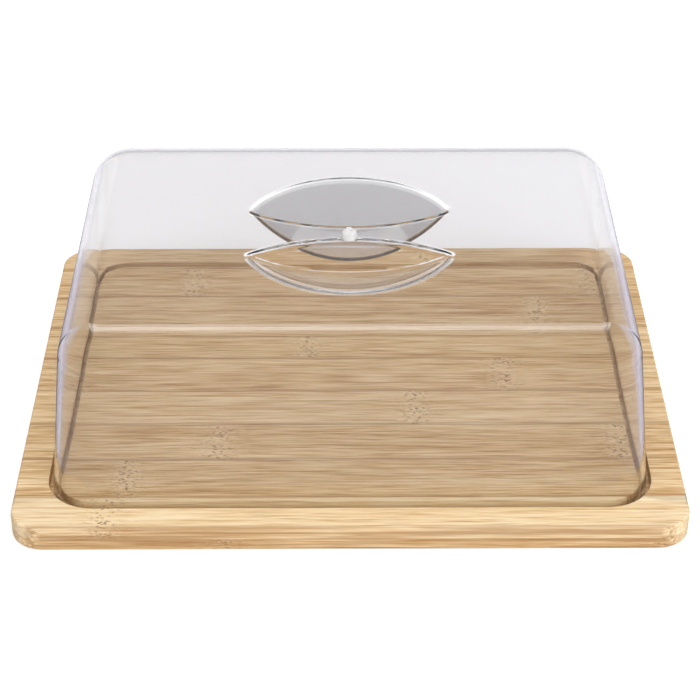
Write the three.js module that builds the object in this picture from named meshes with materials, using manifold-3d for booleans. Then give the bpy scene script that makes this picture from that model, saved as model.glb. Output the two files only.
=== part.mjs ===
// Cheese board with a lift-off clear cover.
// Millimetres, +Z up. The origin is the middle of the board's underside, and the long side runs along X.
import * as THREE from 'three';
import { mergeVertices } from 'three/addons/utils/BufferGeometryUtils.js';
import Module from 'manifold-3d';

const wasm = await Module();
wasm.setup();

// Bamboo board: two plies of edge-glued strips that run along X
const BOARD_LENGTH = 300;
const BOARD_DEPTH = 236;
const BOARD_CORNER = 14.5;
const BOARD_EDGE_ROUND = 1.2;
const TOP_PLY = 6;
const BOTTOM_PLY = 6;
const GLUE_LINE = 0.1;
const TOP_STRIP_COUNT = 9;
const TOP_EDGE_STRIP = 22.5;
const BOTTOM_STRIP_COUNT = 10;
const BOTTOM_EDGE_STRIP = 13;

// Groove that the cover stands in
const RIM_WIDTH = 14.5;
const GROOVE_FLOOR = 1.5;
const COVER_CLEARANCE = 1.6;
const COVER_SEAT_GAP = 0.3;

// Clear cover: one moulding with drafted walls
const COVER_RISE = 80;
const COVER_WALL = 2;
const COVER_CORNER = 20;
const COVER_TOP_ROUND = 18;
const COVER_DRAFT_DEG = 5.5;

// Pinch grip: a dish in the cover's top, parted by a ridge into a front and a back finger well
const GRIP_RADIUS = 51;
const GRIP_DEPTH = 18.5;
const GRIP_RIDGE = 14.2;
const GRIP_RIDGE_ARC = 85;
const GRIP_RIDGE_DRAFT_DEG = 2;
const GATE_DIAMETER = 8;
const GATE_HEIGHT = 3;

// Facets of the round stretches, the least corner they leave, and how far a cutter runs past what it cuts
const CORNER_STEPS = 8;
const ROUND_STEPS = 6;
const DISH_STEPS = 7;
const DISH_SIDES = 60;
const RIDGE_SIDES = 128;
const GATE_SIDES = 24;
const LEAST_CORNER = 0.5;
const OVERCUT = 2;

// Places and fits that follow from the sizes above
const BOARD_TOP = BOTTOM_PLY + GLUE_LINE + TOP_PLY;
const TOP_PLY_BASE = BOTTOM_PLY + GLUE_LINE;
const GROOVE_BASE = TOP_PLY_BASE + GROOVE_FLOOR;
const GROOVE_WIDTH = COVER_WALL + 2 * COVER_CLEARANCE;
const COVER_BASE = GROOVE_BASE + COVER_SEAT_GAP;
const COVER_TOP = BOARD_TOP + COVER_RISE;
const COVER_LENGTH = BOARD_LENGTH - 2 * (RIM_WIDTH + COVER_CLEARANCE);
const COVER_DEPTH = BOARD_DEPTH - 2 * (RIM_WIDTH + COVER_CLEARANCE);
const GRIP_SPHERE = (GRIP_RADIUS ** 2 + GRIP_DEPTH ** 2) / (2 * GRIP_DEPTH);

// Closed geometry to a solid, and back again
function solidOf(geometry) {
  const bare = geometry.clone();
  bare.deleteAttribute('normal');
  bare.deleteAttribute('uv');
  const merged = mergeVertices(bare, 1e-4);
  const vertProperties = Float32Array.from(merged.attributes.position.array);
  const triVerts = Uint32Array.from(merged.index.array);
  return new wasm.Manifold(new wasm.Mesh({ numProp: 3, vertProperties, triVerts }));
}

function geometryOf(solid) {
  const mesh = solid.getMesh();
  const geometry = new THREE.BufferGeometry();
  geometry.setAttribute('position', new THREE.BufferAttribute(mesh.vertProperties, 3));
  geometry.setIndex(new THREE.BufferAttribute(mesh.triVerts, 1));
  geometry.computeVertexNormals();
  return geometry;
}

// Points round a rectangle with arcs at its corners, anticlockwise from the right-hand front corner
function roundedRectangle(length, depth, radius) {
  const points = [];
  const middles = [[1, -1], [1, 1], [-1, 1], [-1, -1]];
  middles.forEach(([sideX, sideY], quarter) => {
    const middleX = sideX * (length / 2 - radius);
    const middleY = sideY * (depth / 2 - radius);
    for (let step = 0; step <= CORNER_STEPS; step += 1) {
      const angle = (quarter - 1 + step / CORNER_STEPS) * Math.PI / 2;
      const x = middleX + radius * Math.cos(angle);
      const y = middleY + radius * Math.sin(angle);
      points.push(new THREE.Vector2(x, y));
    }
  });
  return points;
}

function prism(outline, low, high) {
  const shape = new THREE.Shape(outline);
  return new THREE.ExtrudeGeometry(shape, { depth: high - low, bevelEnabled: false }).translate(0, 0, low);
}

// Solid through a stack of rings that all have the same number of points
function loft(rings) {
  const count = rings[0].points.length;
  const positions = [];
  rings.forEach(({ points, z }) => points.forEach((point) => positions.push(point.x, point.y, z)));
  const index = [];
  for (let ring = 0; ring + 1 < rings.length; ring += 1) {
    for (let side = 0; side < count; side += 1) {
      const here = ring * count + side;
      const next = ring * count + (side + 1) % count;
      index.push(here, next, here + count, next, next + count, here + count);
    }
  }
  const last = (rings.length - 1) * count;
  for (let side = 1; side + 1 < count; side += 1) {
    index.push(0, side + 1, side);
    index.push(last, last + side, last + side + 1);
  }
  const geometry = new THREE.BufferGeometry();
  geometry.setAttribute('position', new THREE.Float32BufferAttribute(positions, 3));
  geometry.setIndex(index);
  return geometry;
}

// Board blank with eased edges, and the groove ring that is milled into it
function boardBlank() {
  const rings = [];
  const ease = (from, to, height) => {
    for (let step = 0; step <= ROUND_STEPS / 2; step += 1) {
      const angle = THREE.MathUtils.lerp(from, to, step / (ROUND_STEPS / 2));
      const inset = BOARD_EDGE_ROUND * (1 - Math.cos(angle));
      const length = BOARD_LENGTH - 2 * inset;
      const depth = BOARD_DEPTH - 2 * inset;
      const points = roundedRectangle(length, depth, BOARD_CORNER - inset);
      rings.push({ points, z: height + BOARD_EDGE_ROUND * Math.sin(angle) });
    }
  };
  ease(-Math.PI / 2, 0, BOARD_EDGE_ROUND);
  ease(0, Math.PI / 2, BOARD_TOP - BOARD_EDGE_ROUND);
  return solidOf(loft(rings));
}

function grooveRing() {
  const outerCorner = COVER_CORNER + COVER_CLEARANCE;
  const outline = (inset) => roundedRectangle(
    BOARD_LENGTH - 2 * (RIM_WIDTH + inset),
    BOARD_DEPTH - 2 * (RIM_WIDTH + inset),
    outerCorner - inset,
  );
  const outer = solidOf(prism(outline(0), GROOVE_BASE, BOARD_TOP + OVERCUT));
  const island = solidOf(prism(outline(GROOVE_WIDTH), GROOVE_BASE - OVERCUT, BOARD_TOP + 2 * OVERCUT));
  return outer.subtract(island);
}

// Strips of one ply, front to back: full strips between two trimmed edge strips
function cutStrips(blank, count, edgeStrip, low, high) {
  const fullStrip = (BOARD_DEPTH - 2 * edgeStrip) / (count - 2);
  const seam = (number) => -BOARD_DEPTH / 2 + edgeStrip + (number - 1) * fullStrip;
  const strips = [];
  for (let number = 1; number <= count; number += 1) {
    const front = number === 1 ? -BOARD_DEPTH / 2 - OVERCUT : seam(number - 1) + GLUE_LINE / 2;
    const back = number === count ? BOARD_DEPTH / 2 + OVERCUT : seam(number) - GLUE_LINE / 2;
    const box = new THREE.BoxGeometry(BOARD_LENGTH + 2 * OVERCUT, back - front, high - low);
    box.translate(0, (front + back) / 2, (low + high) / 2);
    strips.push(blank.intersect(solidOf(box)));
  }
  return strips;
}

// Cover without its grip. A wall of 0 gives the outer face, and the real wall gives the hollow inside.
function coverBell(wall) {
  const draft = THREE.MathUtils.degToRad(COVER_DRAFT_DEG);
  const top = COVER_TOP - wall;
  const round = Math.min(COVER_TOP_ROUND, COVER_CORNER - LEAST_CORNER) - wall;
  const corner = COVER_CORNER - wall;
  const base = wall > 0 ? COVER_BASE - OVERCUT : COVER_BASE;
  const leanAt = (z) => (z - COVER_BASE) * Math.tan(draft) + wall / Math.cos(draft);
  const tangentZ = top - round + round * Math.sin(draft);
  const ringAt = (inset, radius, z) => ({
    points: roundedRectangle(COVER_LENGTH - 2 * inset, COVER_DEPTH - 2 * inset, radius),
    z,
  });
  const rings = [ringAt(leanAt(base), corner, base)];
  for (let step = 0; step <= ROUND_STEPS; step += 1) {
    const angle = THREE.MathUtils.lerp(draft, Math.PI / 2, step / ROUND_STEPS);
    const drawnIn = round * (Math.cos(draft) - Math.cos(angle));
    const z = top - round + round * Math.sin(angle);
    rings.push(ringAt(leanAt(tangentZ) + drawnIn, corner - drawnIn, z));
  }
  return solidOf(loft(rings));
}

// One finger well, grown by a wall where it shapes the inside. The side is -1 for front and 1 for back.
function fingerWell(side, wall) {
  const sphere = GRIP_SPHERE + wall;
  const centre = COVER_TOP - GRIP_DEPTH + GRIP_SPHERE;
  const brim = COVER_TOP + OVERCUT;
  const sweep = Math.acos((centre - brim) / sphere);
  const profile = [];
  for (let step = 0; step <= DISH_STEPS; step += 1) {
    const angle = sweep * step / DISH_STEPS;
    profile.push(new THREE.Vector2(sphere * Math.sin(angle), centre - sphere * Math.cos(angle)));
  }
  profile.push(new THREE.Vector2(0, brim));
  const dish = solidOf(new THREE.LatheGeometry(profile, DISH_SIDES).rotateX(Math.PI / 2));
  const height = GRIP_DEPTH + wall + 2 * OVERCUT;
  const taper = Math.tan(THREE.MathUtils.degToRad(GRIP_RIDGE_DRAFT_DEG));
  const arc = GRIP_RIDGE_ARC + wall;
  const upper = arc + OVERCUT * taper;
  const bound = new THREE.CylinderGeometry(upper, upper - height * taper, height, RIDGE_SIDES);
  bound.rotateX(Math.PI / 2);
  bound.translate(0, side * (GRIP_RIDGE / 2 + GRIP_RIDGE_ARC), brim - height / 2);
  return dish.intersect(solidOf(bound));
}

function clearCover() {
  let outside = coverBell(0);
  let inside = coverBell(COVER_WALL);
  [-1, 1].forEach((side) => {
    outside = outside.subtract(fingerWell(side, 0));
    inside = inside.subtract(fingerWell(side, COVER_WALL));
  });
  const gateRadius = GATE_DIAMETER / 2;
  const gateRoot = COVER_WALL / 2;
  const gate = new THREE.CylinderGeometry(gateRadius, gateRadius, GATE_HEIGHT + gateRoot, GATE_SIDES);
  gate.rotateX(Math.PI / 2);
  gate.translate(0, 0, COVER_TOP + (GATE_HEIGHT - gateRoot) / 2);
  return outside.subtract(inside).add(solidOf(gate));
}

// Finishes
const BAMBOO_TONES = ['#e6c898', '#dcbb88', '#ead0a4', '#d8b684'];

function bamboo(number) {
  const color = BAMBOO_TONES[number % BAMBOO_TONES.length];
  return new THREE.MeshStandardMaterial({ color, roughness: 0.55, metalness: 0 });
}

function clearPlastic() {
  return new THREE.MeshStandardMaterial({
    color: '#eef1f5', roughness: 0.04, metalness: 0, transparent: true, opacity: 0.3,
  });
}

// Assembly
const assembly = new THREE.Group();

function place(name, solid, material) {
  const piece = new THREE.Mesh(geometryOf(solid), material);
  piece.name = name;
  assembly.add(piece);
}

function placeStrips(name, strips) {
  strips.forEach((strip, index) => {
    place(`${name}_${String(index + 1).padStart(2, '0')}`, strip, bamboo(index));
  });
}

const blank = boardBlank();
const milled = blank.subtract(grooveRing());
const above = BOARD_TOP + OVERCUT;
placeStrips('bottom_strip', cutStrips(blank, BOTTOM_STRIP_COUNT, BOTTOM_EDGE_STRIP, -OVERCUT, BOTTOM_PLY));
placeStrips('top_strip', cutStrips(milled, TOP_STRIP_COUNT, TOP_EDGE_STRIP, TOP_PLY_BASE, above));
place('cover', clearCover(), clearPlastic());

export default assembly;
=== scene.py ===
# %% [markdown]
# # A bamboo cheese board with a clear cover
# The real object is two things that come apart. The board is glued up from bamboo strips in two
# plies, with a groove milled round its top. The cover is one clear moulding that stands in the
# groove and is lifted by a ridge between two finger wells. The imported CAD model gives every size
# and place here, so this lesson only adds finer meshes, finishes, light and a camera.

import math

import bmesh
import bpy
import numpy as np
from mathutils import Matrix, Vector


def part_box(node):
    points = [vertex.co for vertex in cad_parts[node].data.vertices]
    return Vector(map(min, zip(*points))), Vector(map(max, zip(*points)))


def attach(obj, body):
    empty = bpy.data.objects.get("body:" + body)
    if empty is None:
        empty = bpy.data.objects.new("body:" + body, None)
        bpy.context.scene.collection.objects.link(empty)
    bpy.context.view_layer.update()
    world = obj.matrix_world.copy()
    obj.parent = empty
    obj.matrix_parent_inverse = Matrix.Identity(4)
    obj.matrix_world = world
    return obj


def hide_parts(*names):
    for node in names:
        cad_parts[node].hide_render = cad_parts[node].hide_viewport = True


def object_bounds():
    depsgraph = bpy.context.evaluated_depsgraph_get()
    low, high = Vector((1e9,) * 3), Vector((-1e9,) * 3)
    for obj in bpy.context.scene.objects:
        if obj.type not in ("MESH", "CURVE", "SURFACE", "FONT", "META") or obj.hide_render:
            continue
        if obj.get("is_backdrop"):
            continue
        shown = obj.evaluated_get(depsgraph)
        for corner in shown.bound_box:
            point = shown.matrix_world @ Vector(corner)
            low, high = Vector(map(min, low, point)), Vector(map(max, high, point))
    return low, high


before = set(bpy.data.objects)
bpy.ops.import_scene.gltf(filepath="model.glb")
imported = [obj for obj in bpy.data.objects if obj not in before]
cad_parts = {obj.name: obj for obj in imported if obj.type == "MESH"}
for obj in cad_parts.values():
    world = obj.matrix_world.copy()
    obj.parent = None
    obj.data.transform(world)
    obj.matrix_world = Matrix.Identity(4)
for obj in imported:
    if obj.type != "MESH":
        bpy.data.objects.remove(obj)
cad_low, cad_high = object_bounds()
print("CAD nodes:", len(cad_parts), "box:", tuple(cad_low), tuple(cad_high))

# %% [markdown]
# ## The camera
# The board is seen from the front and a little above, through a long lens, so its sides close in
# only slightly. The lens and the place were worked out from the board's four corners and the cover's
# top edge. A camera that only pitches down keeps upright lines nearly upright.

# %% Camera
FOCAL_LENGTH_PX = 2000
IMAGE_SIDE_PX = 700
SENSOR_WIDTH = 36.0
CAMERA_PLACE = (-0.0035, -0.7975, 0.563)
CAMERA_TILT_DEG = 56.06
CAMERA_TURN_DEG = -0.275


def linked(name, data):
    piece = bpy.data.objects.new(name, data)
    bpy.context.collection.objects.link(piece)
    return piece


lens_data = bpy.data.cameras.new("camera")
lens_data.sensor_width = SENSOR_WIDTH
lens_data.lens = SENSOR_WIDTH * FOCAL_LENGTH_PX / IMAGE_SIDE_PX
camera = linked("camera", lens_data)
camera.location = CAMERA_PLACE
camera.rotation_euler = (math.radians(CAMERA_TILT_DEG), 0, math.radians(CAMERA_TURN_DEG))
bpy.context.scene.camera = camera
print("lens:", round(lens_data.lens, 2), "mm")

# %% [markdown]
# ## Shader maths in Python
# A finish is a small sum of patterns. Wiring it by hand is slow to read, so one class wraps an output
# socket: sums of values add Math nodes, and one method adds any other node. Colours and vectors keep
# their own nodes, because a Math node would turn a colour grey.

# %% A wire that does sums
class Wire:
    def __init__(self, tree, socket=None):
        self.tree = tree
        self.socket = socket

    def add(self, kind, settings=None, sockets=None, out=0):
        node = self.tree.nodes.new(kind)
        for name, value in (settings or {}).items():
            if name == "stops":
                set_stops(node.color_ramp, value)
            else:
                setattr(node, name, value)
        for name, value in (sockets or {}).items():
            if isinstance(value, Wire):
                self.tree.links.new(value.socket, node.inputs[name])
            else:
                node.inputs[name].default_value = value
        return Wire(self.tree, node.outputs[out] if len(node.outputs) else None)

    def math(self, operation, *values):
        return self.add("ShaderNodeMath", {"operation": operation}, dict(enumerate(values)))

    def __add__(self, other):
        return self.math("ADD", self, other)

    def __sub__(self, other):
        return self.math("SUBTRACT", self, other)

    def __rsub__(self, other):
        return self.math("SUBTRACT", other, self)

    def __mul__(self, other):
        return self.math("MULTIPLY", self, other)

    def __truediv__(self, other):
        return self.math("DIVIDE", self, other)

    def __neg__(self):
        return self.math("MULTIPLY", self, -1.0)

    __radd__ = __add__
    __rmul__ = __mul__

    def ramp(self, low, high):
        sockets = {"Value": self, "From Min": low, "From Max": high}
        return self.add("ShaderNodeMapRange", {"interpolation_type": "SMOOTHSTEP"}, sockets)

    def blend(self, first, second):
        return self.add("ShaderNodeMix", {"data_type": "RGBA"}, {0: self, 6: first, 7: second}, 2)

    def point(self, x, y, z):
        return self.add("ShaderNodeCombineXYZ", None, {0: x, 1: y, 2: z})

    def part(self, axis):
        return self.add("ShaderNodeSeparateXYZ", None, {0: self}, axis)

    def noise(self, where, detail=2.0, scale=1.0, rough=0.5):
        sockets = {"Vector": where, "Scale": scale, "Detail": detail, "Roughness": rough}
        return self.add("ShaderNodeTexNoise", None, sockets)


def set_stops(ramp, stops):
    while len(ramp.elements) < len(stops):
        ramp.elements.new(1.0)
    for element, (place, colour) in zip(ramp.elements, stops):
        element.position = place
        element.color = colour


def linear(red, green, blue):
    def channel(value):
        share = value / 255
        return share / 12.92 if share <= 0.04045 else ((share + 0.055) / 1.055) ** 2.4
    return (channel(red), channel(green), channel(blue), 1.0)


def new_finish(name):
    finish = bpy.data.materials.new(name)
    finish.use_nodes = True
    finish.node_tree.nodes.clear()
    return finish, Wire(finish.node_tree)


print("a mid cream in linear light:", tuple(round(c, 3) for c in linear(238, 210, 165)))

# %% [markdown]
# ## Bamboo
# Each strip is split from a culm, so its fibres run along X, in bundles less than a millimetre wide.
# Seen from the side they are streaks, and at the ends they are dots, so one solid pattern that is
# stretched along X gives both. A knuckle, where the culm had a joint, fans the streaks out and breaks
# them into short dashes. The groove's walls where the cutter crossed the grain are darkened, partly as
# real scorch and partly as painted shade in the hollow. The board's ends are lightened with painted
# light. Every strip comes from another place in a culm, with its own tone and knuckles, so the finish
# is a function, called once a strip.

# %% The bamboo finish
MM = 0.001
CREAM = linear(247, 222, 178)
STRAW = linear(232, 198, 148)
HONEY = linear(205, 162, 106)
UMBER = linear(160, 112, 62)
SCORCH_AND_SHADE = linear(134, 90, 48)
PITH = linear(253, 236, 202)
GRAIN_STOPS = [(0.0, UMBER), (0.26, HONEY), (0.5, STRAW), (0.78, CREAM), (1.0, PITH)]

# length along the strip, width and height of each pattern's cells, in millimetres
FINE_FIBRE = (26, 0.95, 0.75)
MIDDLING_FIBRE = (110, 3.2, 2.6)
BROAD_FIBRE = (300, 10, 10)
DARK_BUNDLE = (34, 1.3, 1.0)
BUNDLE_PATCH = (60, 3, 2.4)
DASH = (2.3, 1.2, 1.0)
DASH_PATCH = (4, 2.4, 2.4)
RIND = (90, 0.7, 2)
DRIFT = (90, 16, 16)
KINK = (5, 2.6, 2.6)
KNUCKLE_HALF = 6
KNUCKLE_SWAY = 8
SEED_STEP = 31.0
# the groove's walls lie inside these places, and the board's ends outside them
GROOVE_ENDS = (144, 142)
GROOVE_SIDES = (112, 110)


def bamboo_finish(name, low, high, tone, seed, knuckles):
    finish, wire = new_finish(name)
    place = wire.add("ShaderNodeTexCoord", None, None, "Object")
    x = place.part("X") / MM
    y = place.part("Y") / MM
    z = place.part("Z") / MM + SEED_STEP * seed

    def cells(size, along=x, across=y, up=z):
        return wire.point(along / size[0], across / size[1], up / size[2])

    joint = 0.0
    fan = 0.0
    for where in knuckles:
        bent = wire.noise(wire.point(y / KNUCKLE_HALF, z / KNUCKLE_HALF, where), 2) - 0.5
        away = (x - where + bent * KNUCKLE_SWAY) / KNUCKLE_HALF
        joint = wire.math("EXPONENT", -(away * away)) + joint
        fan = wire.math("EXPONENT", -(away * away * 0.2)) + fan
    drift = wire.noise(cells(DRIFT), 1) - 0.5
    kink = wire.noise(cells(KINK), 2) - 0.5
    y_fibre = y + drift * 0.8 + kink * fan * 3.2
    z_fibre = z + drift * 0.5 + kink * fan * 1.6

    def fibres(size):
        return cells(size, x, y_fibre, z_fibre)

    fine = wire.noise(fibres(FINE_FIBRE), 3, 1.0, 0.62) - 0.5
    middling = wire.noise(fibres(MIDDLING_FIBRE), 2) - 0.5
    broad = wire.noise(fibres(BROAD_FIBRE), 1) - 0.5
    bundle = {"Vector": fibres(DARK_BUNDLE), "Scale": 1.0}
    streak = wire.add("ShaderNodeTexVoronoi", None, bundle, "Distance").ramp(0.34, 0.08)
    streak = streak * wire.noise(fibres(BUNDLE_PATCH), 1).ramp(0.42, 0.62)
    shade = fine * 1.5 + middling * 0.4 + broad * 0.35 + tone
    colour = wire.add("ShaderNodeValToRGB", {"stops": GRAIN_STOPS}, {"Fac": shade})
    colour = (streak * 0.55).blend(colour, UMBER)

    spot = {"Vector": fibres(DASH), "Scale": 1.0}
    dash = wire.add("ShaderNodeTexVoronoi", None, spot, "Distance").ramp(0.50, 0.24)
    dash = dash * wire.noise(cells(DASH_PATCH), 1).ramp(0.34, 0.54) * joint
    colour = (joint * 0.3).blend(colour, CREAM)
    colour = (dash * 0.8).blend(colour, SCORCH_AND_SHADE)

    from_front = y - low.y / MM
    near_edge = wire.math("MINIMUM", from_front, high.y / MM - y)
    rind = wire.noise(cells(RIND), 2).ramp(0.32, 0.56)
    rind = rind * from_front.ramp(3.0, 0.4)
    colour = (rind * 0.62).blend(colour, UMBER)
    colour = (near_edge.ramp(0.6, 0.1) * 0.2).blend(colour, UMBER)
    facing = wire.add("ShaderNodeNewGeometry", None, None, "Normal").part("X")
    across = wire.math("ABSOLUTE", facing).ramp(0.15, 0.8)
    inside = wire.math("ABSOLUTE", x).ramp(*GROOVE_ENDS) * wire.math("ABSOLUTE", y).ramp(*GROOVE_SIDES)
    # painted shade, with some real scorch: groove walls that cross the grain are darkened
    colour = (across * inside * 0.55).blend(colour, SCORCH_AND_SHADE)
    # painted light: the board's ends, which face the sides, are lightened
    colour = (across * (1 - inside) * 0.12).blend(colour, PITH)

    height = fine * 0.5 + middling * 0.3 - streak * 0.3 - dash * 0.5
    bump = wire.add("ShaderNodeBump", None, {"Strength": 0.3, "Distance": 0.00014, "Height": height})
    rough = 0.5 - fine * 0.25 + streak * 0.12
    sockets = {"Base Color": colour, "Roughness": rough, "Normal": bump, "Specular IOR Level": 0.35}
    shader = wire.add("ShaderNodeBsdfPrincipled", None, sockets)
    wire.add("ShaderNodeOutputMaterial", None, {"Surface": shader})
    return finish


print("bamboo runs from umber to pith in", len(GRAIN_STOPS), "stops")

# %% [markdown]
# ## The strips
# A strip is a plain machined part, and the CAD mesh has its true outline, the groove's arcs and the
# eased outer edges. It arrives as triangles with hard shading. A copy with flat faces joined again
# can take a small easing along the groove's edges, as a sander leaves there, and smooth shading on
# the round corners. The glued edges stay sharp, because a board is sanded flat after gluing.

# %% Strips from the frame
SANDED_EDGE = 0.00035
HALF_GLUE = 0.00005
SMOOTH_BELOW = math.radians(40)
FLAT_BELOW = math.radians(0.4)
SAME_POINT = 1e-6
ON_PLANE = 2e-5
NEAR_SEAM = 1e-4
HARD_ABOVE = math.radians(60)
BOARD_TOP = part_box("top_strip_05")[1].z
PLY_SEAM = (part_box("bottom_strip_05")[1].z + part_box("top_strip_05")[0].z) / 2


def glued_face(face, low, high):
    normal = face.normal
    middle = face.calc_center_median()
    at_seam = min(abs(middle.y - low.y), abs(middle.y - high.y)) < ON_PLANE
    inside = abs(abs(middle.y) - cad_high.y) > ON_PLANE
    return (abs(normal.y) > 0.99 and at_seam and inside) or abs(middle.z - PLY_SEAM) < NEAR_SEAM


def sanded_strip(node):
    low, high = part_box(node)
    grid = bmesh.new()
    grid.from_mesh(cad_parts[node].data)
    bmesh.ops.remove_doubles(grid, verts=grid.verts, dist=SAME_POINT)
    bmesh.ops.dissolve_limit(grid, angle_limit=FLAT_BELOW, verts=grid.verts, edges=grid.edges)
    grid.normal_update()
    hard = []
    for edge in grid.edges:
        if len(edge.link_faces) != 2 or edge.calc_face_angle(0) < HARD_ABOVE:
            continue
        if any(glued_face(face, low, high) for face in edge.link_faces):
            continue
        if all(abs(corner.co.z - BOARD_TOP) < ON_PLANE for corner in edge.verts):
            hard.append(edge)
    bmesh.ops.bevel(grid, geom=hard, offset=SANDED_EDGE, segments=2, profile=0.5, affect="EDGES",
                    clamp_overlap=True)
    for edge_y, way in ((low.y, -1), (high.y, 1)):
        if abs(edge_y - way * cad_high.y) > ON_PLANE:
            for corner in grid.verts:
                if abs(corner.co.y - edge_y) < ON_PLANE:
                    corner.co.y += way * HALF_GLUE
    mesh = bpy.data.meshes.new("bamboo_" + node)
    grid.to_mesh(mesh)
    grid.free()
    mesh.shade_smooth()
    mesh.set_sharp_from_angle(angle=SMOOTH_BELOW)
    piece = linked("bamboo_" + node, mesh)
    even = piece.modifiers.new("even shading", "WEIGHTED_NORMAL")
    even.keep_sharp = True
    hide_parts(node)
    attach(piece, "board")
    return piece


# tone, and the places of the knuckles along the strip in millimetres, front to back
BOTTOM_SEED = 20
TOP_STRIPS = [
    (0.65, (-108,)), (0.44, (-101,)), (0.45, (125, -60)), (0.51, (30,)), (0.45, (-135, 75)),
    (0.47, (-20,)), (0.42, (95,)), (0.44, (-80, 125)), (0.44, (40,)),
]
BOTTOM_STRIPS = [
    (0.50, (-55, 140)), (0.46, (60,)), (0.53, (-120, 20)), (0.48, (100,)), (0.55, (-30,)),
    (0.45, (75, -140)), (0.52, (10,)), (0.49, (-90, 120)), (0.56, (50,)), (0.47, (-110, 80)),
]
for ply, strips in (("top", TOP_STRIPS), ("bottom", BOTTOM_STRIPS)):
    for number, (tone, knuckles) in enumerate(strips, 1):
        node = f"{ply}_strip_{number:02d}"
        piece = sanded_strip(node)
        low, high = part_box(node)
        seed = number + (BOTTOM_SEED if ply == "bottom" else 0)
        piece.data.materials.clear()
        piece.data.materials.append(bamboo_finish("bamboo_" + node, low, high, tone, seed, knuckles))
    print(ply, "ply:", len(strips), "strips")

# %% [markdown]
# ## The cover's shape
# The cover is moulded thin and even: a bell with leaning walls, a rolled shoulder, and a dish in its
# top that a ridge parts into two finger wells. The ridge's wall is nearly upright, so a height map
# can't hold it, and a boolean would leave broken shading on glass. Here a grid is laid roughly over
# each well, and every point is then moved onto one smooth formula, in which the brim and the keel
# are rounded. The same formula, grown by the wall, gives the inside.

# %% Sizes of the cover, in millimetres
WALL = 2.0
CORNER = 20.0
SHOULDER = 18.0
DRAFT = math.radians(5.5)
DISH_RADIUS = 51.0
DISH_DEPTH = 18.5
RIDGE_WIDTH = 14.2
RIDGE_ARC = 85.0
RIDGE_DRAFT = math.radians(2)
GATE_HEIGHT = 3.0
BRIM_ROUND = 1.2
BRIM_KEEPS = 0.23
RIDGE_ROUND = 2.6
KEEL_ROUND = 0.9
LEAST_ROUND = 0.4
EDGE_BLEND = 8.0
FOOT_ROUND = 0.6

cover_low, cover_high = (np.array(corner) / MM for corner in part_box("cover"))
HALF_LENGTH, HALF_DEPTH = cover_high[:2]
COVER_BASE = cover_low[2]
COVER_TOP = cover_high[2] - GATE_HEIGHT
DISH_SPHERE = (DISH_RADIUS ** 2 + DISH_DEPTH ** 2) / (2 * DISH_DEPTH)
DISH_CENTRE = COVER_TOP - DISH_DEPTH + DISH_SPHERE
RIDGE_CENTRE = RIDGE_WIDTH / 2 + RIDGE_ARC
print("dish sphere:", round(DISH_SPHERE, 2), "cover top:", round(COVER_TOP, 2))

# %% The rounded formula of the grip
def rounded_meet(first, second, radius):
    inside = np.minimum(np.maximum(first, second), -radius)
    return inside + np.hypot(np.maximum(first + radius, 0), np.maximum(second + radius, 0))


def edge_round(dish, bound, skin):
    share = np.clip((dish - bound) / EDGE_BLEND + 0.5, 0, 1)
    share = share * share * (3 - 2 * share)
    drawn_in = skin * (1 - (1 - BRIM_KEEPS) * share)
    return np.maximum(RIDGE_ROUND + (BRIM_ROUND - RIDGE_ROUND) * share - drawn_in, LEAST_ROUND)


def grip_face(points, skin):
    x, y, z = points.T
    y = np.abs(y)
    dish = np.sqrt(x ** 2 + y ** 2 + (z - DISH_CENTRE) ** 2) - DISH_SPHERE - skin
    ridge = RIDGE_ARC + skin - (COVER_TOP - z) * math.tan(RIDGE_DRAFT)
    bound = (np.hypot(x, y - RIDGE_CENTRE) - ridge) * math.cos(RIDGE_DRAFT)
    well = rounded_meet(dish, bound, KEEL_ROUND + skin)
    return rounded_meet(z - COVER_TOP + skin, -well, edge_round(dish, bound, skin))


def slope_of(points, skin, step=1e-4):
    slope = np.empty_like(points)
    for axis in range(3):
        shift = np.zeros(3)
        shift[axis] = step
        slope[:, axis] = (grip_face(points + shift, skin) - grip_face(points - shift, skin)) / (2 * step)
    return slope


def settle(points, skin, rounds=14):
    for _ in range(rounds):
        slope = slope_of(points, skin)
        points = points - slope * (grip_face(points, skin) / (slope ** 2).sum(1))[:, None]
    slope = slope_of(points, skin)
    return points, slope / np.linalg.norm(slope, axis=1)[:, None]


# %% A grid over one finger well
MARGINS = (4.8, 4.0, 3.3, 2.7, 2.1, 1.6, 1.1, 0.7, 0.3)
COLUMNS = 97
WALL_ROWS = 15
WALL_GRADE = 1.6
DISH_ROWS = 26
DISH_GRADE = 1.9
KEEL_TRIES = 30


def graded(count, strength):
    even = np.linspace(-1, 1, count)
    return 0.5 + 0.5 * np.tanh(strength * even) / math.tanh(strength)


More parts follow.
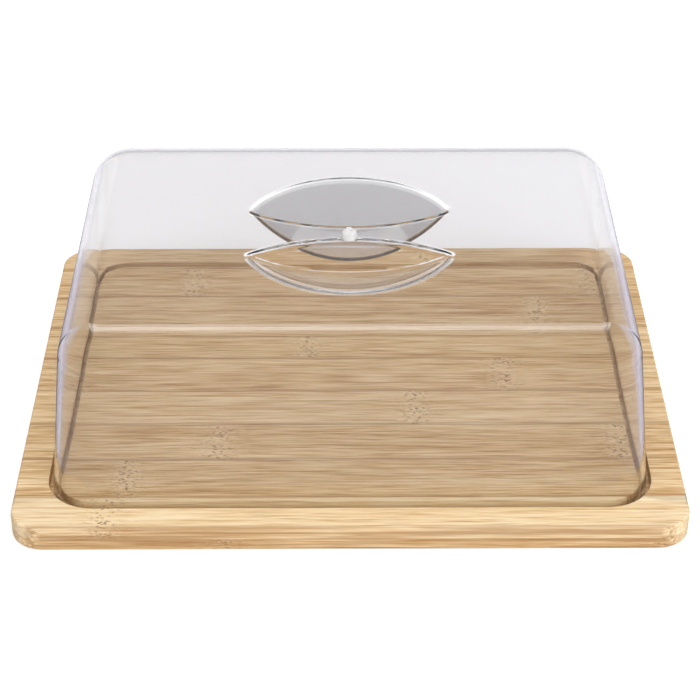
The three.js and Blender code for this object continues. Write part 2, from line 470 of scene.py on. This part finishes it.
def well_grid(side, skin):
    top = COVER_TOP - skin
    taper = math.tan(RIDGE_DRAFT)
    sphere = DISH_SPHERE + skin
    sweep = np.sin(np.linspace(-math.pi / 2, math.pi / 2, COLUMNS))

    def arc(margin):
        return RIDGE_ARC + skin * (1 - taper) + margin

    def brim(margin):
        return math.sqrt(sphere ** 2 - (DISH_CENTRE - top) ** 2) + margin

    def across(margin):
        tip_y = (RIDGE_CENTRE ** 2 + brim(margin) ** 2 - arc(margin) ** 2) / (2 * RIDGE_CENTRE)
        return sweep * math.sqrt(brim(margin) ** 2 - tip_y ** 2)

    def ridge_y(x, radius):
        return RIDGE_CENTRE - np.sqrt(radius ** 2 - x ** 2)

    def row(x, y, z):
        return np.stack([x, y, np.broadcast_to(z, x.shape)], axis=1)

    rows = [row(across(m), ridge_y(across(m), arc(m)), top) for m in MARGINS]
    x = across(0.0)
    keel_z = np.full_like(x, top)
    for _ in range(KEEL_TRIES):
        keel_y = ridge_y(x, arc(0.0) - (top - keel_z) * taper)
        keel_z = np.minimum(DISH_CENTRE - np.sqrt(sphere ** 2 - x ** 2 - keel_y ** 2), top)
    for share in graded(WALL_ROWS, WALL_GRADE)[:-1]:
        z = top - share * (top - keel_z)
        rows.append(row(x, ridge_y(x, arc(0.0) - (top - z) * taper), z))
    brim_y = np.sqrt(np.maximum(brim(0.0) ** 2 - x ** 2, 0))
    for share in graded(DISH_ROWS, DISH_GRADE):
        y = keel_y + share * (brim_y - keel_y)
        rows.append(row(x, y, np.minimum(DISH_CENTRE - np.sqrt(sphere ** 2 - x ** 2 - y ** 2), top)))
    for m in reversed(MARGINS):
        rows.append(row(across(m), np.sqrt(np.maximum(brim(m) ** 2 - across(m) ** 2, 0)), top))
    grid = np.array(rows)
    grid[:, :, 1] *= side
    points, normals = settle(grid.reshape(-1, 3), skin)
    return points.reshape(grid.shape), normals.reshape(grid.shape)


print("one well has", COLUMNS, "columns")

# %% Rings of the bell
CORNER_STEPS = 20
SHOULDER_STEPS = 16
FOOT_STEPS = 5
WALL_STEPS = 7


def ring(inset, radius, z):
    points = []
    bearings = []
    for quarter, (side_x, side_y) in enumerate(((1, -1), (1, 1), (-1, 1), (-1, -1))):
        middle_x = side_x * (HALF_LENGTH - inset - radius)
        middle_y = side_y * (HALF_DEPTH - inset - radius)
        for step in range(CORNER_STEPS + 1):
            bearing = (quarter - 1 + step / CORNER_STEPS) * math.pi / 2
            points.append((middle_x + radius * math.cos(bearing), middle_y + radius * math.sin(bearing), z))
            bearings.append(bearing)
        bearing = quarter * math.pi / 2
        along_x = math.cos(bearing) * (HALF_LENGTH - inset)
        along_y = math.sin(bearing) * (HALF_DEPTH - inset)
        points.append((along_x, along_y, z))
        bearings.append(bearing)
    return np.array(points), np.array(bearings)


def bell_rings(skin):
    top = COVER_TOP - skin
    roll = SHOULDER - skin
    corner = CORNER - skin
    lean = math.tan(DRAFT)
    start = COVER_BASE + FOOT_ROUND
    tangent = top - roll + roll * math.sin(DRAFT)

    def inset_at(z):
        return (z - COVER_BASE) * lean + skin / math.cos(DRAFT)

    rings = []
    normals = []

    def keep(inset, radius, z, tilt=None):
        points, bearings = ring(inset, radius, z)
        flat = np.stack([np.cos(bearings), np.sin(bearings)], axis=1)
        if tilt is None:
            whole = np.column_stack([flat, lean * np.abs(flat).sum(1)])
        else:
            whole = np.column_stack([flat * math.cos(tilt), np.full(len(flat), math.sin(tilt))])
        rings.append(points)
        normals.append(whole / np.linalg.norm(whole, axis=1)[:, None])

    inward = -1 if skin else 1
    for step in range(FOOT_STEPS + 1):
        turn = (step / FOOT_STEPS - 1) * math.pi / 2
        drawn = inward * FOOT_ROUND * (1 - math.cos(turn))
        keep(inset_at(start) + drawn, corner - drawn, start + FOOT_ROUND * math.sin(turn),
             turn * inward)
    for share in np.linspace(0, 1, WALL_STEPS + 1)[1:-1]:
        z = start + share * (tangent - start)
        keep(inset_at(z), corner, z)
    for step in range(SHOULDER_STEPS + 1):
        turn = DRAFT + (math.pi / 2 - DRAFT) * step / SHOULDER_STEPS
        drawn = roll * (math.cos(DRAFT) - math.cos(turn))
        keep(inset_at(tangent) + drawn, corner - drawn, top - roll + roll * math.sin(turn), turn)
    return np.array(rings), np.array(normals)


print("bell rings:", len(bell_rings(0)[0]))

# %% [markdown]
# ## Joining the cover's skins
# The outer and inner skins share a foot, so the cover is one closed mesh with a real wall, and light
# bends in it as in the moulding. The flat top round the wells is two large flat faces. Each point
# keeps the exact normal of its formula, which glass needs more than it needs more faces.

# %% The cover mesh
class Skin:
    def __init__(self):
        self.points = []
        self.normals = []
        self.faces = []
        self.seen = {}

    def corner(self, point, normal):
        key = tuple(np.round(point, 4))
        if key not in self.seen:
            self.seen[key] = len(self.points)
            self.points.append(point)
            self.normals.append(normal)
        return self.seen[key]

    def face(self, corners):
        distinct = [c for i, c in enumerate(corners) if c != corners[i - 1]]
        if len(set(distinct)) < 3:
            return
        ring_points = np.array([self.points[c] for c in distinct])
        following = np.roll(ring_points, -1, axis=0)
        facing = np.cross(ring_points, following).sum(0)
        wanted = sum(self.normals[c] for c in distinct)
        self.faces.append(distinct if facing @ wanted > 0 else distinct[::-1])

    def grid(self, points, normals, closed=False):
        index = [[self.corner(p, n) for p, n in zip(*line)] for line in zip(points, normals)]
        width = len(index[0])
        for upper, lower in zip(index, index[1:]):
            for step in range(width if closed else width - 1):
                after = (step + 1) % width
                self.face([upper[step], upper[after], lower[after], lower[step]])
        return index


def cover_mesh():
    skin_mesh = Skin()
    feet = []
    for skin in (0.0, WALL):
        facing = -1 if skin else 1
        rings, normals = bell_rings(skin)
        bell = skin_mesh.grid(rings, normals * facing, closed=True)
        feet.append(bell[0])
        edge = bell[-1]
        wells = {}
        for side in (-1, 1):
            points, slopes = well_grid(side, skin)
            wells[side] = skin_mesh.grid(points, slopes * facing)
        middle = COLUMNS // 2
        quarter = CORNER_STEPS + 2
        right = edge[-1:] + edge[:2 * quarter]
        left = edge[2 * quarter - 1:]
        for half, ends in ((right, slice(middle, None)), (left, slice(middle, None, -1))):
            outline = list(half)
            for side in ((1, -1) if half is right else (-1, 1)):
                brim_line = wells[side][-1][ends]
                ridge_line = wells[side][0][ends]
                if (half is right) == (side == 1):
                    outline += brim_line + ridge_line[::-1]
                else:
                    outline += ridge_line + brim_line[::-1]
            skin_mesh.face(outline)
    outer, inner = feet
    for step in range(len(outer)):
        skin_mesh.face([outer[step - 1], outer[step], inner[step], inner[step - 1]])
    return skin_mesh


skins = cover_mesh()
print("cover:", len(skins.points), "points,", len(skins.faces), "faces")

# %% The cover in the scene
cover_data = bpy.data.meshes.new("clear_cover")
cover_data.from_pydata([tuple(point * MM) for point in skins.points], [], skins.faces)
cover_data.validate(verbose=True)
cover_data.shade_smooth()
cover_data.normals_split_custom_set_from_vertices([tuple(normal) for normal in skins.normals])
cover = linked("clear_cover", cover_data)
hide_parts("cover")
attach(cover, "cover")
print("cover is", round(cover.dimensions.x / MM, 1), "mm long")

# %% [markdown]
# ## Clear plastic
# A moulded cover is clear but not optical glass. Its faces sway a little, so straight lines behind it
# bend, and washing leaves a faint smear. The wells are tinted greyer below their brims, the back one
# most, as painted shade for the darker view through them, by a mask worked out from the wells' plan.
# Lamps pass through the cover, or its shadow would be as dark as the board's, so shadow rays meet a
# Transparent shader in place of the glass.

# %% The clear plastic
CLEAR = (0.96, 0.96, 0.965, 1)
WELL_SHADE_GREY = (0.57, 0.57, 0.58, 1)
LAMPLIGHT = (0.895, 0.88, 0.845, 1)
BRIM_SHADE_EDGE = (DISH_RADIUS + 0.2, DISH_RADIUS - 1.0)
RIDGE_SHADE_EDGE = (RIDGE_ARC, RIDGE_ARC - 1.5)
FRONT_WELL_SHADE = 0.25


def clear_plastic(name, roughness, clarity):
    finish, wire = new_finish(name)
    place = wire.add("ShaderNodeTexCoord", None, None, "Object")
    x = place.part("X") / MM
    y = place.part("Y") / MM
    from_ridge = wire.math("ABSOLUTE", y) - RIDGE_CENTRE
    within_brim = wire.math("SQRT", x * x + y * y).ramp(*BRIM_SHADE_EDGE)
    off_ridge = wire.math("SQRT", x * x + from_ridge * from_ridge).ramp(*RIDGE_SHADE_EDGE)
    # painted shade: a grey tint below the brims, full in the back well and a quarter as strong in the front
    # one
    well = within_brim * off_ridge * (y.ramp(-4, 4) * (1 - FRONT_WELL_SHADE) + FRONT_WELL_SHADE)
    sway = wire.noise(place, 1, 14.0)
    smear = wire.noise(place, 3, 60.0)
    bump = wire.add("ShaderNodeBump", None, {"Strength": 0.04, "Distance": 0.001, "Height": sway})
    sockets = {
        "Base Color": well.blend(CLEAR, WELL_SHADE_GREY), "Roughness": smear * 0.02 + well * 0.02 + roughness,
        "IOR": 1.5, "Transmission Weight": clarity, "Normal": bump,
    }
    glass = wire.add("ShaderNodeBsdfPrincipled", None, sockets)
    open_way = wire.add("ShaderNodeBsdfTransparent", None, {"Color": LAMPLIGHT})
    lamp_ray = wire.add("ShaderNodeLightPath", None, None, "Is Shadow Ray")
    either = wire.add("ShaderNodeMixShader", None, {0: lamp_ray, 1: glass, 2: open_way})
    wire.add("ShaderNodeOutputMaterial", None, {"Surface": either})
    return finish


cover.data.materials.append(clear_plastic("clear_plastic", 0.0, 0.994))
print("plastic:", len(cover.data.materials[0].node_tree.nodes), "nodes")

# %% [markdown]
# ## The gate nub
# Plastic enters the mould at the ridge, and breaking the runner off leaves a nub there, near the
# ridge's front edge. It is a small turned form with a torn, faceted top, so its profile is swept round
# an upright axis and each point is then pushed a little by a few sine waves, which come out the same
# on every run.

# %% The gate nub
NUB_RADIUS = 4.0
NUB_FORWARD = -3.0
NUB_SUNK = 0.9
NUB_SIDES = 13
NUB_PROFILE = (
    (0.98, 0.0), (1.0, 0.12), (0.97, 0.45), (0.9, 0.72), (0.74, 0.93), (0.55, 1.0), (0.4, 0.94),
    (0.28, 0.74), (0.16, 0.62), (0.06, 0.58),
)
nub_grid = bmesh.new()
loops = []
for share, rise in NUB_PROFILE:
    loop = []
    for side in range(NUB_SIDES):
        turn = 2 * math.pi * side / NUB_SIDES
        torn = rise * abs(0.06 * math.sin(3 * turn + 1.1) + 0.04 * math.sin(7 * turn + 4 * rise))
        reach = NUB_RADIUS * share * (1 - torn)
        height = COVER_TOP - NUB_SUNK + (GATE_HEIGHT + NUB_SUNK) * rise * (1 - 1.5 * torn)
        across, along = reach * math.cos(turn), NUB_FORWARD + reach * math.sin(turn)
        loop.append(nub_grid.verts.new((across * MM, along * MM, height * MM)))
    loops.append(loop)
for lower, upper in zip(loops, loops[1:]):
    for side in range(NUB_SIDES):
        nub_grid.faces.new((lower[side - 1], lower[side], upper[side], upper[side - 1]))
nub_grid.faces.new(loops[0][::-1])
nub_grid.faces.new(loops[-1])
nub_data = bpy.data.meshes.new("gate_nub")
nub_grid.to_mesh(nub_data)
nub_grid.free()
nub = linked("gate_nub", nub_data)
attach(nub, "cover")
nub.data.materials.append(clear_plastic("torn_plastic", 0.12, 0.5))
print("gate nub:", len(nub_data.vertices), "points")

# %% [markdown]
# ## The floor
# The object stands on plain white paper. Seen straight, the paper is white, with the object's shadow
# left in it, and it stays white out to its end. Clear walls bend the view to the sides, where a studio
# is dim, so for rays that come through the plastic the paper is pale only behind the object and dusky
# elsewhere, and rays that a wall mirrors find it dark in front.

# %% The floor
FLOOR_HALF = 4.0
FLOOR_DROP = 0.0002
PAPER = (0.8, 0.8, 0.8, 1)
PALE = (0.95, 0.95, 0.95, 1)
DUSK = (0.72, 0.67, 0.74, 1)
DARK = (0.12, 0.12, 0.14, 1)
PAPER_GLOW = 0.5
PALE_GLOW = 0.2
BEHIND_HALF = 0.17
BEHIND_WIDENS = 1.5
BEHIND_FROM = (0.105, 0.135)
MIRROR_FADE = (0.0, 0.3)
PLAIN_FROM = (0.6, 1.2)

floor_grid = bmesh.new()
bmesh.ops.create_grid(floor_grid, x_segments=1, y_segments=1, size=FLOOR_HALF)
floor_data = bpy.data.meshes.new("floor")
floor_grid.to_mesh(floor_data)
floor_grid.free()
floor = linked("floor", floor_data)
floor.location.z = -FLOOR_DROP
floor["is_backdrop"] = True

finish, wire = new_finish("white_paper")
place = wire.add("ShaderNodeTexCoord", None, None, "Object")
x = place.part("X")
y = place.part("Y")
beyond = wire.math("MAXIMUM", wire.math("ABSOLUTE", x) - BEHIND_HALF, 0.0)
behind = (y - beyond * BEHIND_WIDENS).ramp(*BEHIND_FROM)
straight = wire.add("ShaderNodeLightPath", None, None, "Is Camera Ray")
mirrored = wire.add("ShaderNodeLightPath", None, None, "Is Glossy Ray")
bent = wire.add("ShaderNodeLightPath", None, None, "Is Transmission Ray")
paper, pale, dusk, dark = (
    wire.add("ShaderNodeBsdfDiffuse", None, {"Color": tone}) for tone in (PAPER, PALE, DUSK, DARK))
glow, faint = (
    wire.add("ShaderNodeEmission", None, {"Strength": strength}) for strength in (PAPER_GLOW, PALE_GLOW))
white = wire.add("ShaderNodeAddShader", None, {0: paper, 1: glow})
distance = wire.math("SQRT", x * x + y * y)
plain = wire.add("ShaderNodeEmission", None, {"Strength": 1.0})
white = wire.add("ShaderNodeMixShader", None, {0: distance.ramp(*PLAIN_FROM), 1: white, 2: plain})
pale = wire.add("ShaderNodeAddShader", None, {0: pale, 1: faint})
aside = wire.add("ShaderNodeMixShader", None, {0: behind, 1: dusk, 2: pale})
mirror = wire.add("ShaderNodeMixShader", None, {0: y.ramp(*MIRROR_FADE), 1: dark, 2: dusk})
seen = wire.add("ShaderNodeMixShader", None, {0: mirrored, 1: paper, 2: mirror})
seen = wire.add("ShaderNodeMixShader", None, {0: bent, 1: seen, 2: aside})
seen = wire.add("ShaderNodeMixShader", None, {0: straight, 1: seen, 2: white})
wire.add("ShaderNodeOutputMaterial", None, {"Surface": seen})
floor_data.materials.append(finish)
print("floor is", 2 * FLOOR_HALF, "m wide")

# %% [markdown]
# ## The light
# A product of clear plastic is lit from behind and above. One long softbox there draws the pale line
# along the front shoulder and the bright rims of the wells. It starts just above the angle that the
# flat top mirrors, and a white backdrop ends just below it, so the top stays clear. Three more softboxes
# fill the wood, and aren't mirrored. The room is dim to the sides, which gives clear edges dark lines.

# %% The room
LOW_WALL = (0.42, 0.42, 0.46, 1)
HIGH_WALL = (0.24, 0.25, 0.31, 1)
SIDE_WALL = (0.38, 0.37, 0.40, 1)
BACKDROP = (0.8, 0.8, 0.82, 1)
BLANK = (1, 1, 1, 1)
ROOM_STRENGTH = 0.8

world = bpy.data.worlds.new("studio")
world.use_nodes = True
world.node_tree.nodes.clear()
wire = Wire(world.node_tree)
direction = wire.add("ShaderNodeTexCoord", None, None, "Generated")
aside = wire.math("ABSOLUTE", direction.part("X"))
room = direction.part("Z").ramp(0.3, 0.75).blend(LOW_WALL, HIGH_WALL)
room = aside.ramp(0.35, 0.85).blend(room, SIDE_WALL)
backdrop = direction.part("Y").ramp(0.3, 0.6) * direction.part("Z").ramp(0.42, 0.36)
room = backdrop.blend(room, BACKDROP)
sky = wire.add("ShaderNodeBackground", None, {"Color": room, "Strength": ROOM_STRENGTH})
blank = wire.add("ShaderNodeBackground", None, {"Color": BLANK, "Strength": 1.0})
straight = wire.add("ShaderNodeLightPath", None, None, "Is Camera Ray")
sky = wire.add("ShaderNodeMixShader", None, {0: straight, 1: sky, 2: blank})
wire.add("ShaderNodeOutputWorld", None, {"Surface": sky})
bpy.context.scene.world = world
print("room:", len(world.node_tree.nodes), "nodes")


# %% The lamps
def softbox(name, place, target, width, height, power, mirrored):
    data = bpy.data.lights.new(name, "AREA")
    data.shape = "RECTANGLE"
    data.size = width
    data.size_y = height
    data.energy = power
    lamp = linked(name, data)
    lamp.location = place
    lamp.rotation_euler = (Vector(target) - Vector(place)).to_track_quat("-Z", "Y").to_euler()
    lamp.visible_glossy = mirrored
    lamp.visible_transmission = mirrored
    return lamp


softbox("back", (0.0, 1.05, 1.35), (0, 0, 0.05), 1.4, 0.8, 8.0, True)
softbox("overhead", (0.1, -0.3, 1.4), (0, 0, 0), 1.2, 1.0, 7.0, False)
softbox("right", (1.0, -1.4, 0.75), (0, 0, 0), 1.2, 0.8, 21.0, False)
softbox("left", (-0.95, -1.1, 0.85), (0, 0, 0), 0.8, 0.8, 5.5, False)
scene = bpy.context.scene
scene.view_settings.view_transform = "Standard"
scene.cycles.max_bounces = 32
scene.cycles.transmission_bounces = 32
scene.cycles.glossy_bounces = 16

# %% [markdown]
# ## Sizes
# The dressed part is meant to keep the CAD model's box. Both boxes are printed, so that they can be
# compared after each render.

# %% Sizes
low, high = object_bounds()
print("visual box:", tuple(low), tuple(high))
